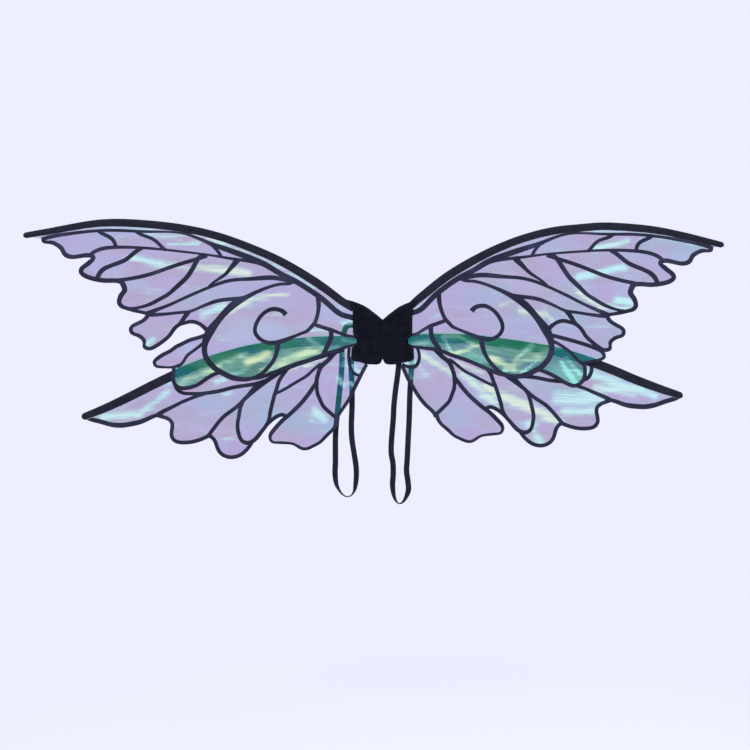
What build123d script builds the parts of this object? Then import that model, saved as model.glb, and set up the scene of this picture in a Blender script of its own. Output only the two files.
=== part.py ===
"""Fairy wings: four wings of clear iridescent film on wire frames, a felt butterfly patch and two elastic straps.

Frame: Z up, as worn.  The outer face looks along -Y and the wearer stands on the +Y side.
The origin is the middle of the patch on its wearer-side face.  All lengths are in millimetres.
In the lists below a point is (distance out from the middle line, height) and a third value is a width.
"""
from math import exp, hypot
import os

from build123d import *

os.makedirs("parts", exist_ok=True)

# ---- driving dimensions -------------------------------------------------------------------------
felt = 1.5                   # thickness of each felt layer
strap_thick = 1.2            # flat elastic webbing
strap_wide = 8.2
lining_face = 0.0            # depths are measured from the wearer-side face, towards the onlooker
strap_back = lining_face + felt
lower_plane = 4.8            # middle of the lower wings
upper_plane = 9.0            # middle of the upper wings, in front of the lower ones
core_back = 6.1              # stiffener plate between the two layers of wings
core_front = 7.7
outer_back = 11.1            # back of the outer felt
patch_front = outer_back + felt

sleeve_thick = 3.6           # flattened fabric tube
sleeve_round = 1.0
sleeve_ease = 0.8             # the cloth tube is this much wider than its drawn line of widths
vein_weight = 1.18            # the printed veins are this much heavier than their drawn widths
film_thick = 0.3
vein_thick = 0.2
wire_radius = 1.1
bore_radius = 1.25
eye_radius = 4.4
eye_thick = 2.0              # the wire's end is hammered a little flatter than the wire
eye_hole = 2.08
eye_clear = 6.5              # the film is cut away round the eye
rivet_radius = 2.0
rivet_head = 4.0
rivet_head_thick = 0.8

fold_line = 5.0              # the patch folds like a book about two creases this far from the middle
fold_gap = 0.3               # half the width of each crease
lining_size = 0.93           # the lining is cut a little smaller than the outer felt

upper_pivot = (30, 28)
lower_pivot = (20, -15)


# ---- how each wing is laid out: from the pattern (out, up) to the frame (x, z) --------------------
def upper_left(s, z):
    """The pattern itself, on the left."""
    return -s, z


def lower_left(s, z):
    """The pattern itself, on the left."""
    return -s, z


def upper_right(s, z):
    """The right upper wing is cut a little smaller and is bowed less than the left one."""
    bow_x = 0.114 * s * s + 0.371 * s * z - 0.466 * z * z
    bow_z = 0.097 * s * s - 0.066 * s * z + 0.069 * z * z
    wide = 8 * exp(-((s - 285) / 105) ** 2 - ((z - 110) / 60) ** 2)
    dip = 9 * exp(-((s - 45) / 40) ** 2 - ((z + 16) / 14) ** 2)
    return 0.911 * s - 0.133 * z + 1.4 + bow_x / 1000 + wide, 0.979 * z + 0.01 * s + 6.3 - bow_z / 1000 - dip


def lower_right(s, z):
    """The right lower wing is cut a little smaller and turned up by about three degrees."""
    lift = 3 * exp(-((s - 420) / 50) ** 2)
    return 0.967 * s - 0.06 * z + 7.5, 0.977 * z + 0.057 * s + 0.3 + lift


# ---- sleeves: from the patch to the tip, (out, up, width) -------------------------------------------
upper_left_sleeve = [
    (43.5, 37, 10.5), (60, 47, 11), (100, 76, 12), (150, 106, 11.5), (200, 128.5, 11), (250, 146, 11),
    (300, 157, 11), (350, 163, 11), (400, 165.5, 11), (440, 163, 10), (500, 152.5, 9), (539, 146, 8)]
upper_right_sleeve = [
    (43.5, 41.5, 10.5), (60, 56, 11.5), (100, 87, 12), (150, 116, 11.5), (200, 138, 11), (250, 152, 11),
    (300, 158, 11), (340, 160, 11), (400, 155.5, 10.5), (450, 146.5, 9.5), (512, 131.5, 8)]
lower_left_sleeve = [
    (33, -13, 12.5), (60, -11.3, 13), (110, -13, 13), (150, -17, 13), (200, -25, 13), (250, -38.5, 13),
    (290, -53, 13), (330, -70.5, 13), (380, -95.5, 12.6), (415, -112, 11.5), (452, -127, 9.5)]
lower_right_sleeve = [
    (33, -13.5, 12.5), (60, -8.5, 13), (130, -9, 13), (180, -15, 13), (225, -21.5, 13), (270, -30, 13),
    (330, -49.5, 13), (380, -70, 12.6), (415, -83, 11.5), (451, -95, 9.5)]

# ---- printed veins of the upper wing -------------------------------------------------------------
upper_top_border = [
    (38, 20, 7), (45, 23, 7), (60, 27, 7), (80, 42, 7), (97, 56, 7), (115, 68, 7), (135, 80, 7), (155, 90, 7),
    (175, 102, 7.5), (200, 113, 7.5), (230, 124, 7), (260, 135, 5), (290, 147, 3.5), (300, 149.5, 3),
    (350, 152, 3.5), (400, 154, 4), (440, 152.5, 4), (470, 149, 4.5), (490, 146, 5), (510, 141, 5)]
upper_veins = [
    # the long vein under the border
    [(438, 117, 5), (430, 123, 5), (420, 126.5, 5), (400, 128.5, 4.5), (350, 127, 3.5), (300, 122, 3),
     (260, 117, 3), (220, 110.5, 4), (190, 106, 5), (176, 102, 6)],
    # scalloped edge, lobe by lobe
    [(509, 144, 5), (507, 137, 5), (498, 136, 5), (488, 132, 5.5), (481, 126, 6), (477, 119, 6), (471, 115, 6),
     (455, 115, 5.5), (438, 116, 6)],
    [(438, 117, 6), (434, 112, 6), (438, 107, 6), (444, 102, 6), (451, 96, 6), (452, 92, 6), (448, 87, 6),
     (441, 83.5, 6), (430, 80.5, 6), (415, 78.5, 6), (400, 78.5, 6), (392, 76.5, 6)],
    [(392, 78, 7), (388, 70, 7), (387, 64, 7), (391, 58, 6.5), (394, 52, 6), (395, 46, 6), (391, 40, 5.5),
     (383, 37, 5), (375, 34.5, 5), (365, 32, 4.5), (352, 29, 5)],
    [(352, 28, 6), (360, 18, 5), (370, 13, 5), (377, 7, 5), (376, 1, 5), (368, -3, 5), (360, -8, 5),
     (357, -13, 5), (357, -20, 5), (350, -23.5, 5), (342, -21, 5), (334, -16, 5), (325, -9, 5), (319, -3, 5),
     (315, 3, 5), (311, 8, 5), (305, 13, 5), (300, 19, 5.5), (296, 25, 6), (290, 32, 6)],
    [(311, 8, 4), (305, 12, 4), (297, 15, 4.5), (288, 17, 5), (280, 16, 5), (272, 12, 5), (264, 5, 6),
     (259, 0, 7)],
    # the big inner loop, thick where it turns
    [(133, 78, 4), (140, 74, 4), (150, 73.5, 4), (170, 69, 4), (190, 61, 5), (205, 53.5, 6.5), (220, 45, 9),
     (235, 32, 8.5), (247, 18, 8.5), (257, 5, 11), (264, -8, 10), (267, -20, 7.5), (266, -33, 7),
     (260, -44, 7), (250, -54, 7), (240, -60, 7), (225, -67, 7), (210, -69.5, 6), (195, -68, 5), (180, -60, 5),
     (170, -50, 5), (163, -40, 5), (158.5, -27, 6), (157, -14, 6)],
    # cross veins inside
    [(127, 76, 5), (140, 78, 5), (160, 82.5, 6), (180, 82.5, 6), (200, 81, 5), (220, 80, 4.5), (240, 76, 4.5),
     (260, 68.5, 4), (280, 60, 4), (300, 51, 4), (320, 42, 4), (340, 34.5, 5), (354, 29, 6)],
    [(217, 111, 8), (222, 104, 7), (228, 97, 5.5), (235, 89, 4.5), (243, 83, 4), (252, 77, 3.5), (262, 68, 3)],
    [(266, 117, 5), (277, 111, 6), (281, 104, 6), (287, 93, 6), (293, 84, 6), (302, 75, 6), (312, 66, 5.5),
     (322, 57.5, 5), (332, 52, 5), (342, 46.5, 5), (352, 42, 4.5), (362, 39, 4), (375, 37, 3.5), (386, 38, 3.5)],
    [(263, 116, 5), (275, 112, 5), (305, 103, 5), (325, 96, 5), (345, 89, 5), (365, 84, 5), (385, 80.5, 5),
     (397, 79, 5)],
    [(361, 127, 5), (370, 122, 5.5), (377, 116, 5.5), (385, 110, 5.5), (402, 103, 5.5), (410, 100, 5.5),
     (418, 96, 6), (424, 90, 6), (427, 84, 6), (430, 79, 6)],
    [(427, 154, 5), (418, 148, 5), (410, 144, 5), (404, 139, 5), (401, 133, 5), (400, 128, 5)],
    [(370, 152.5, 4.5), (355, 145, 4.5), (345, 141, 4.5), (338, 136, 4.5), (332, 130, 4.5), (325, 124, 4.5)],
    [(262, 135, 4.5), (255, 131, 4.5), (250, 126, 4.5), (246, 121, 4.5), (242, 114, 4.5)],
    [(207, 53, 5), (225, 51, 5), (240, 49.5, 5), (250, 47.5, 5), (260, 44, 4.5), (270, 40, 4), (280, 35.5, 3.5),
     (290, 32, 4), (300, 31, 4), (320, 29, 4), (340, 27.5, 5), (354, 28, 6)],
    # the swirl, and the veins that run to the patch
    [(97, 55, 6), (96, 45, 6), (96, 38, 5.5), (97, 30, 5), (99, 22, 5), (102, 15, 5), (107, 9, 5), (113, 3, 4.5),
     (120, 0, 4), (130, -4, 4), (140, -8, 5), (150, -12, 6), (160, -14.5, 6), (168, -15, 5.5), (178, -12.5, 5),
     (186, -7, 5), (191, 1, 5), (191, 9, 5), (188, 17, 5), (182, 26, 5), (175, 32, 5), (167, 35.5, 5.5),
     (158, 35.5, 5.5), (150, 32.5, 6), (145, 27, 7)],
    [(103, 13, 5), (93, 9.5, 5), (85, 7, 5), (78, 5, 5), (70, 2, 4.5), (62, -1, 4), (55, -3.5, 4), (48, -4.5, 3.5),
     (38, -8, 3)],
    [(78, 5, 6), (77, -3, 6), (78, -9, 6), (81, -16, 6), (84, -22, 6), (88, -31, 6)],
    [(38, -16, 3.5), (45, -18.5, 3.5), (55, -21, 4), (65, -25, 4.5), (85, -31, 5), (105, -39, 5), (125, -45, 5),
     (145, -52, 5), (165, -60, 5), (182, -66, 5), (194, -68, 5)],
]
upper_left_lobes = [
    [(266, -3, 5), (280, -8, 5), (290, -11, 5), (300, -16, 5), (310, -21, 5), (318, -27, 5), (328, -32, 5),
     (337, -38, 5), (342, -44, 4.5), (340, -49, 4), (333, -51, 3.5), (325, -51.5, 3), (313, -51, 3.5),
     (305, -48, 4)],
    [(308, -51, 4), (298, -42, 4), (292, -33, 4), (284, -27, 4), (275, -20, 4), (266, -13, 4)],
    [(313, -50, 4), (313.5, -60, 5), (313, -74, 5), (308, -80, 5), (300, -83, 5), (290, -82, 5), (280, -79, 5),
     (270, -73, 5), (260, -66, 5), (250, -61, 5), (243, -59, 5)],
]
upper_right_lobes = [
    [(252, -3, 5), (262, -5.5, 5), (283, -11, 5), (303, -17, 5), (322, -24, 5), (331, -30.5, 5), (332, -36, 4.5),
     (326, -40, 4), (313, -43, 3.5), (297, -46.5, 4)],
    [(303, -48, 4), (292, -40, 4), (284, -31, 4), (274, -23, 4), (263, -16, 4), (252, -11, 4)],
    [(302, -45, 4), (303.5, -57, 5), (302, -68, 5), (297, -75, 5), (289, -79, 5), (279, -77, 5), (268, -71, 5),
     (256, -64, 5), (243, -58, 5), (231, -54, 5)],
]
# bare film at the patch end and beside the bay, between the veins
upper_root_panels = [
    [(207, 53), (225, 51), (250, 47), (275, 38), (290, 32), (300, 20), (304, 13), (288, 17), (272, 12), (259, 0),
     (247, 18), (235, 32), (220, 45)],
    [(39, 18), (45, 23), (60, 27), (80, 42), (97, 55), (97, 30), (102, 14), (85, 7), (62, -1), (39, -8)],
    [(39, -7.5), (62, -1), (78, 4), (79, -12), (87, -30), (65, -25), (45, -18.5), (39, -16.5)],
]

# ---- printed veins of the lower wing -------------------------------------------------------------
lower_veins = [
    # scalloped edge, lobe by lobe
    [(447, -125, 5), (440, -129, 5.5), (428, -132, 6), (410, -137, 6), (400, -138.5, 6.5), (390, -138.5, 6.5),
     (380, -137, 6.5), (370, -135, 6.5), (360, -132, 6), (350, -127.5, 5.5), (337, -123, 5)],
    [(338, -123, 6), (330, -126, 5), (322, -129, 5), (317, -134, 5), (316, -141, 5), (317, -148, 5),
     (317, -154, 5), (314, -160, 5), (308, -163.5, 5), (300, -164.5, 5), (290, -164, 5), (280, -162, 5),
     (270, -158.5, 5), (261, -154, 5.5)],
    [(263, -154, 5), (256, -157, 5), (252, -162, 5), (249, -170, 5), (246, -177, 5), (240, -183, 5),
     (230, -186.5, 5), (222, -186, 5), (212, -182, 5), (205, -176, 5), (200, -170, 5), (196, -163, 5.5)],
    # down from the sleeve, round the bottom and up again inside the third lobe
    [(143, -54, 4.5), (150, -63, 5), (156, -73, 5), (159, -83, 5), (163, -95, 5), (166, -107, 5), (169, -120, 5),
     (171, -131, 5), (175, -139, 5), (181, -147, 5), (188, -156, 5.5), (196, -163, 5.5), (203, -165, 5.5),
     (211, -162, 5), (216, -152, 5), (218, -140, 5), (216, -125, 5), (213, -110, 5), (206, -97, 5)],
    [(174, -138, 5), (168, -132, 5), (160, -126, 5), (153, -123, 5), (145, -124.5, 4.5)],
    [(92, -46, 4), (105, -56, 4), (115, -65, 4), (125, -71, 4), (135, -77, 4), (145, -83, 4), (161, -91, 3.5)],
    [(58, -26, 5), (68, -27, 6), (75, -33, 6), (83, -42, 6), (92, -50, 6), (97, -62, 5.5), (99, -70, 5.5),
     (99, -80, 5), (98, -90, 5), (94, -100, 5), (89, -110, 5), (82, -117, 5), (75, -123, 5), (67, -129, 5)],
    # the deep cut and the inner lobe
    [(98, -72, 5), (106, -84, 5.5), (117, -99, 5.5), (124, -107, 5.5), (132, -115, 5.5), (140, -122.5, 5.5),
     (148, -129, 5.5), (156, -137, 5.5), (163, -145, 5.5), (168, -152, 5), (169, -158, 4), (166, -163, 3.5),
     (158, -164.5, 3.5), (146, -165, 3.5), (133, -167, 3.5), (126, -171, 4), (118, -174, 4), (110, -172.5, 4),
     (102, -168.5, 4), (94, -164, 4), (87, -157, 4.5), (80, -150, 4.5), (74, -144, 4.5), (70, -137, 5),
     (68, -127, 5)],
    # the two long veins towards the tip
    [(178, -72, 5), (200, -78, 5), (215, -80, 5), (230, -83, 5), (245, -87, 5), (260, -89.5, 5), (275, -91, 4.5),
     (290, -91, 4.5), (300, -90, 4.5), (307, -86, 5), (311, -80, 5), (313, -70, 5), (313, -58, 5.5)],
    [(262, -89, 4.5), (270, -92, 4.5), (280, -95, 4.5), (290, -99, 4.5), (300, -103, 4.5), (310, -108, 4.5),
     (320, -113, 5), (330, -118, 5.5), (339, -124, 6)],
    [(60, -25, 5), (80, -32, 5), (100, -38, 5), (122, -45, 5), (145, -54, 5), (165, -66, 5.5), (178, -74, 7),
     (192, -84, 8), (200, -92, 6), (207, -99, 5), (222, -113, 5), (238, -125, 5), (252, -141, 5),
     (263, -156, 5)],
]
lower_left_root_veins = [
    [(24, -47, 4.5), (30, -58, 5), (36, -70, 5), (42, -82, 5), (48, -95, 4.5), (56, -108, 4.5), (63, -118, 4.5),
     (70, -130, 5)],
    [(50, -22, 4), (51, -35, 4), (50, -45, 4), (47, -55, 4), (42, -61, 4), (31, -63, 4)],
]
lower_right_root_veins = [
    [(28, -47, 4.5), (33, -57, 5), (38, -68, 5), (44, -78, 5), (51, -90, 5), (58, -100, 5), (67, -110, 5),
     (76, -118.5, 5), (80, -126, 5)],
    [(52, -22, 4), (55, -32, 4), (54, -43, 4.5), (49, -50, 5), (41, -51, 4.5), (30, -47, 4)],
]
lower_panel = [
    (447, -126), (400, -138), (370, -134), (337, -123), (262, -154), (245, -133), (222, -113), (207, -99),
    (192, -84), (175, -72), (145, -54), (100, -38), (60, -25)]
lower_left_root_panel = [
    (33, -14), (62, -22), (75, -33), (92, -50), (99, -70), (99, -80), (94, -100), (82, -117), (69, -128),
    (56, -108), (42, -82), (30, -58), (24, -47), (27, -34)]
lower_right_root_panel = [
    (33, -14), (70, -21), (83, -32), (100, -45), (106, -62), (107, -72), (104, -90), (92, -109), (78, -121),
    (67, -110), (51, -90), (38, -68), (28, -47), (30, -34)]

# ---- straps: (out, up, width), from one sewn end round to the other ---------------------------------
w = strap_wide
left_strap = [
    (46, 12, w), (50, 12, w), (55, 8.5, w), (58, 1, w), (59.5, -10, w), (61, -25, w), (61, -40, w),
    (62, -60, w), (66, -100, w), (70, -140, w), (71, -160, w), (71, -195, w), (71.5, -210, w), (70, -225, 6),
    (67, -233, 3.6), (62, -241, 2.6), (56, -245.5, 2.4), (51.5, -246, 2.4), (47, -244, 2.8), (43, -238, 4.2),
    (41, -230, 6.4), (39, -215, w), (40, -200, w), (43, -180, w), (46, -160, w), (47, -140, w), (46, -110, w),
    (46, -80, w), (47, -60, w), (47, -50.4, w)]
right_strap = [
    (24, -50.4, w), (23, -60, w), (21, -75, w), (19, -90, w), (17, -110, w), (16, -130, w), (13.5, -160, w),
    (13, -180, w), (15.5, -195, w), (16, -212, w), (15, -228, w), (16.5, -242, 5), (20, -252, 3),
    (25, -256.5, 2.4), (31, -253.5, 3), (36, -245, 5), (39, -235, w), (38, -222, w), (36, -207, w),
    (37, -190, w), (38.5, -160, w), (40, -130, w), (41, -95, w), (42, -75, w), (43, -60, w), (43.5, -50.4, w)]


# ---- drawing -------------------------------------------------------------------------------------
def edges_of(points, place):
    """The two sides of a stripe of changing width drawn along a line of points."""
    middle = [place(s, z) for s, z, _ in points]
    one_side = []
    other_side = []
    for i, (x, z) in enumerate(middle):
        ahead = middle[min(i + 1, len(middle) - 1)]
        behind = middle[max(i - 1, 0)]
        out = (ahead[0] - x, ahead[1] - z)
        back = (x - behind[0], z - behind[1])
        out_length = hypot(*out) or 1
        back_length = hypot(*back) or 1
        dx = out[0] / out_length + back[0] / back_length
        dz = out[1] / out_length + back[1] / back_length
        length = hypot(dx, dz)
        half = points[i][2] / 2
        one_side.append((x - dz / length * half, z + dx / length * half))
        other_side.append((x + dz / length * half, z - dx / length * half))
    return one_side, other_side


def stripe(points, place, mode=Mode.ADD):
    """A smooth stripe of changing width, added to the sketch in hand."""
    one_side, other_side = edges_of(points, place)
    with BuildLine() as rim:
        Spline(*one_side)
        Line(one_side[-1], other_side[-1])
        Spline(*other_side)
        Line(other_side[0], one_side[0])
    make_face(rim.edges(), mode=mode)


def panel(points, place):
    """A straight-sided piece of film, added to the sketch in hand."""
    with BuildLine() as rim:
        Polyline(*[place(s, z) for s, z in points], close=True)
    make_face(rim.edges())


def out_of(part, name):
    """Write one piece."""
    part.label = name
    export_step(part, f"parts/{name}.step")
    print(name, "volume", round(part.volume, 1), "solids", len(part.solids()), "valid", part.is_valid)


def net_of(veins, place, side, own_veins):
    """All the veins of one wing, joined flat: the shared pattern, then the wing's own few lines."""
    def plain(s, z):
        return side * s, z

    def heavier(line):
        return [(s, z, width * vein_weight) for s, z, width in line]

    with BuildSketch(Plane.XZ) as net:
        for line in veins:
            stripe(heavier(line), place)
        for line in own_veins:
            stripe(heavier(line), plain)
    return net.sketch


def wing(name, depth, pivot, side, sleeve, net, panels):
    """One wing: wire with its eye, sleeve, film and veins.  side is -1 on the left and +1 on the right."""
    def place(s, z):
        return side * s, z

    middle = Plane.XZ.offset(depth)
    sleeve = [(s, z, width + sleeve_ease) for s, z, width in sleeve]
    start = place(*pivot)
    first = place(*sleeve[0][:2])
    last = place(*sleeve[-1][:2])
    before = place(*sleeve[-2][:2])
    stop = (last[0] * 0.85 + before[0] * 0.15, last[1] * 0.85 + before[1] * 0.15)
    reach = hypot(first[0] - start[0], first[1] - start[1])
    neck = 3.3 / reach
    heel = (start[0] + (first[0] - start[0]) * neck, start[1] + (first[1] - start[1]) * neck)
    neck_gap = [(*pivot, 3.6), (*sleeve[0][:2], 3.6), (*sleeve[1][:2], 3.6)]
    run = [heel] + [place(s, z) for s, z, _ in sleeve[:-1]] + [stop]

    # wire: a steel rod with a flat eye at the rivet
    with BuildPart() as wire:
        with BuildLine(middle) as course:
            Spline(*run)
        with BuildSketch(Plane(origin=course.line @ 0, z_dir=course.line % 0)):
            Circle(wire_radius)
        sweep()
        with BuildSketch(Plane.XZ.offset(depth - eye_thick / 2)):
            with Locations(start):
                Circle(eye_radius)
        extrude(amount=eye_thick)
        with BuildSketch(Plane.XZ.offset(depth - 3)):
            with Locations(start):
                Circle(eye_hole)
        extrude(amount=6, mode=Mode.SUBTRACT)
    out_of(wire.part, name + "_wire")

    # sleeve: a flattened fabric tube, closed at the tip, with the wire's channel in it
    with BuildPart() as cover:
        with BuildSketch(Plane.XZ.offset(depth - sleeve_thick / 2)):
            stripe(sleeve, place)
        extrude(amount=sleeve_thick)
        long_edges = cover.faces().filter_by(Axis.Y).edges().filter_by(GeomType.BSPLINE)
        fillet(long_edges, sleeve_round)
        with BuildLine(middle) as channel:
            Spline(*run)
        with BuildSketch(Plane(origin=channel.line @ 0, z_dir=channel.line % 0)):
            Circle(bore_radius)
        sweep(mode=Mode.SUBTRACT)
    out_of(cover.part, name + "_sleeve")

    # film: the whole outline of the vein net, and bare film up to the sleeve
    with BuildPart() as film:
        with BuildSketch(Plane.XZ.offset(depth - film_thick / 2)):
            for face in net.faces():
                make_face(face.outer_wire().edges())
            for outline, where in panels:
                panel(outline, where)
            stripe(sleeve, place, mode=Mode.SUBTRACT)
            stripe(neck_gap, place, mode=Mode.SUBTRACT)
            with Locations(start):
                Circle(eye_clear, mode=Mode.SUBTRACT)
        extrude(amount=film_thick)
    out_of(film.part, name + "_film")

    # veins: a thin dark print on the front of the film
    with BuildPart() as veins:
        with BuildSketch(Plane.XZ.offset(depth + film_thick / 2)):
            add(net)
            stripe(sleeve, place, mode=Mode.SUBTRACT)
            stripe(neck_gap, place, mode=Mode.SUBTRACT)
            with Locations(start):
                Circle(eye_clear, mode=Mode.SUBTRACT)
        extrude(amount=vein_thick)
    out_of(veins.part, name + "_veins")


def strip_panel(sleeve, side, border, place):
    """Bare film between the sleeve and the border vein, in frame coordinates."""
    top = [(side * s, z) for s, z, _ in sleeve]
    under = [place(s, z) for s, z, _ in reversed(border)]
    return top + under


def as_drawn(x, z):
    """Points that are already in the frame."""
    return x, z


# ---- the four wings ------------------------------------------------------------------------------
upper_set = [upper_top_border] + upper_veins
for side, name, place, sleeve, own_veins in (
        (-1, "upper_left", upper_left, upper_left_sleeve, upper_left_lobes),
        (1, "upper_right", upper_right, upper_right_sleeve, upper_right_lobes)):
    net = net_of(upper_set, place, side, own_veins)
    panels = [(outline, place) for outline in upper_root_panels]
    panels.append((strip_panel(sleeve, side, upper_top_border, place), as_drawn))
    wing(name, upper_plane, upper_pivot, side, sleeve, net, panels)

for side, name, place, sleeve, own_veins, root_panel in (
        (-1, "lower_left", lower_left, lower_left_sleeve, lower_left_root_veins, lower_left_root_panel),
        (1, "lower_right", lower_right, lower_right_sleeve, lower_right_root_veins, lower_right_root_panel)):
    net = net_of(lower_veins, place, side, own_veins)
    inner = [place(s, z) for s, z in lower_panel]
    root = [(side * s, z) for s, z in root_panel]
    edge = [(side * s, z) for s, z, _ in sleeve] + inner
    wing(name, lower_plane, lower_pivot, side, sleeve, net, [(edge, as_drawn), (root, as_drawn)])


# ---- the patch -----------------------------------------------------------------------------------
def patch_outline(size=1.0):
    """The butterfly outline of the felt, added to the sketch in hand."""
    for side in (-1, 1):
        def at(s, z, across=side * size):
            return across * s, z * size

        with BuildLine() as rim:
            Spline(at(0, 20), at(12, 30), at(25, 39.5), at(40, 46), at(54, 50))
            Spline(at(54, 50), at(48, 43), at(45, 32))
            Line(at(45, 32), at(44.5, -2))
            Spline(at(44.5, -2), at(40, -7), at(34, -13), at(40.5, -18), at(46.5, -22))
            Line(at(46.5, -22), at(47.3, -37))
            Spline(at(47.3, -37), at(43, -42), at(33, -44), at(24, -47))
            Line(at(24, -47), at(9, -47.5))
            Spline(at(9, -47.5), at(3.5, -45.5), at(0, -39))
            Line(at(0, -39), at(0, 20))
        make_face(rim.edges())


for name, back, size in (("outer_patch", outer_back, 1.0), ("lining", lining_face, lining_size)):
    for where, middle_x, width in (("left", -50 - fold_line - fold_gap, 100),
                                   ("centre", 0, 2 * (fold_line - fold_gap)),
                                   ("right", 50 + fold_line + fold_gap, 100)):
        with BuildPart() as layer:
            with BuildSketch(Plane.XZ.offset(back)):
                patch_outline(size)
                with Locations((middle_x, 0)):
                    Rectangle(width, 200, mode=Mode.INTERSECT)
            extrude(amount=felt)
        out_of(layer.part, f"{name}_{where}")

# foam strip that joins the two felts along the middle
with BuildPart() as spine:
    with BuildSketch(Plane.XZ.offset(strap_back)):
        with Locations((0, -9)):
            Rectangle(8.6, 50)
    extrude(amount=outer_back - strap_back)
out_of(spine.part, "spine_centre")

# stiffener of each half: a plate between the two layers of wings and a bar that carries both felts
for side, where in ((-1, "left"), (1, "right")):
    with BuildPart() as core:
        with BuildSketch(Plane.XZ.offset(core_back)):
            with BuildLine():
                Polyline((side * 5.6, 17), (side * 28, 35), (side * 36, 38), (side * 36, 18), (side * 28, 8),
                         (side * 28, -40), (side * 5.6, -40), close=True)
            make_face()
        extrude(amount=core_front - core_back)
        with BuildSketch(Plane.XZ.offset(strap_back)):
            with Locations((side * 8, -10.5)):
                Rectangle(4.8, 53)
        extrude(amount=outer_back - strap_back)
        with BuildSketch(Plane.XZ.offset(core_back - 1)):
            with Locations((side * upper_pivot[0], upper_pivot[1]), (side * lower_pivot[0], lower_pivot[1])):
                Circle(rivet_radius)
        extrude(amount=core_front - core_back + 2, mode=Mode.SUBTRACT)
    out_of(core.part, f"stiffener_{where}")

    with BuildPart() as front_rivet:
        with BuildSketch(Plane.XZ.offset(core_back)):
            with Locations((side * upper_pivot[0], upper_pivot[1])):
                Circle(rivet_radius)
        extrude(amount=outer_back - 0.1 - core_back)
        with BuildSketch(Plane.XZ.offset(outer_back - 0.1 - rivet_head_thick)):
            with Locations((side * upper_pivot[0], upper_pivot[1])):
                Circle(rivet_head)
        extrude(amount=rivet_head_thick)
    out_of(front_rivet.part, f"upper_rivet_{where}")

    with BuildPart() as back_rivet:
        with BuildSketch(Plane.XZ.offset(lower_plane - wire_radius - 0.1 - rivet_head_thick)):
            with Locations((side * lower_pivot[0], lower_pivot[1])):
                Circle(rivet_head)
        extrude(amount=rivet_head_thick)
        with BuildSketch(Plane.XZ.offset(lower_plane - wire_radius - 0.2)):
            with Locations((side * lower_pivot[0], lower_pivot[1])):
                Circle(rivet_radius)
        extrude(amount=core_front - lower_plane + wire_radius + 0.2)
    out_of(back_rivet.part, f"lower_rivet_{where}")

# ---- the straps: a free loop, and two short ends sewn between the felts ------------------------------
for side, where, loop in ((-1, "left", left_strap), (1, "right", right_strap)):
    def flat(s, z, side=side):
        """Strap points on this side."""
        return side * s, z

    with BuildPart() as strap:
        with BuildSketch(Plane.XZ.offset(strap_back)):
            stripe(loop, flat)
        extrude(amount=strap_thick)
    out_of(strap.part, f"{where}_strap")

for name, x, z, long_x, long_z in (("left_strap_end_side", -40.6, 12, 9.8, strap_wide),
                                   ("left_strap_end_bottom", -47, -42.4, strap_wide, 13.2),
                                   ("right_strap_end_inner", 24, -42.4, strap_wide, 13.2),
                                   ("right_strap_end_outer", 43.5, -42.4, strap_wide, 13.2)):
    with BuildPart() as sewn:
        with BuildSketch(Plane.XZ.offset(strap_back)):
            with Locations((x, z)):
                Rectangle(long_x, long_z)
        extrude(amount=strap_thick)
    out_of(sewn.part, name)
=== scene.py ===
"""Looks of the fairy wings: iridescent film, dark printed veins, black wire sleeves, felt patch, elastic straps.

Lengths are in millimetres until a mesh is made.  X is across, Z is up, and -Y is towards the onlooker.
"""

import math

import bpy
import numpy as np
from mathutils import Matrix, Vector
from mathutils.geometry import delaunay_2d_cdt


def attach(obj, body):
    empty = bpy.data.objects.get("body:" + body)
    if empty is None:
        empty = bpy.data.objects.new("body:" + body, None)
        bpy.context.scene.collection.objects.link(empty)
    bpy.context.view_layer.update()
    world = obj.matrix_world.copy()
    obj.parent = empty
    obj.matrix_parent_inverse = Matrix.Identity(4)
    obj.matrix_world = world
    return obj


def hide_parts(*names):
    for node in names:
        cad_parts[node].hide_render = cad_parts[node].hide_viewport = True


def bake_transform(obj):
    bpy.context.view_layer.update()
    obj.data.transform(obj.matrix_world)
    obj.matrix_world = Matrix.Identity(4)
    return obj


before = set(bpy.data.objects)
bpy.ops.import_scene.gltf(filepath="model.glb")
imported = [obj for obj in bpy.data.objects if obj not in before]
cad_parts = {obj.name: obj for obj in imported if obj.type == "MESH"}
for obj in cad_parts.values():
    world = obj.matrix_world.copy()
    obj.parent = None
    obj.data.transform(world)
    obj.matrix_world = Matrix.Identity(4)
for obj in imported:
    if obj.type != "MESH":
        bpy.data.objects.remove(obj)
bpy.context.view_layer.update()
scene = bpy.context.scene

# ---- camera: straight on -------------------------------------------------------------------------------
camera_data = bpy.data.cameras.new("front_camera")
camera_data.lens = 70.1
camera_data.sensor_width = 36.0
camera = bpy.data.objects.new("front_camera", camera_data)
scene.collection.objects.link(camera)
camera.location = (-0.0114, -2.2, -0.063)
camera.rotation_euler = (math.pi / 2, 0, 0)
scene.camera = camera
scene.view_settings.view_transform = "Standard"

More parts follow.
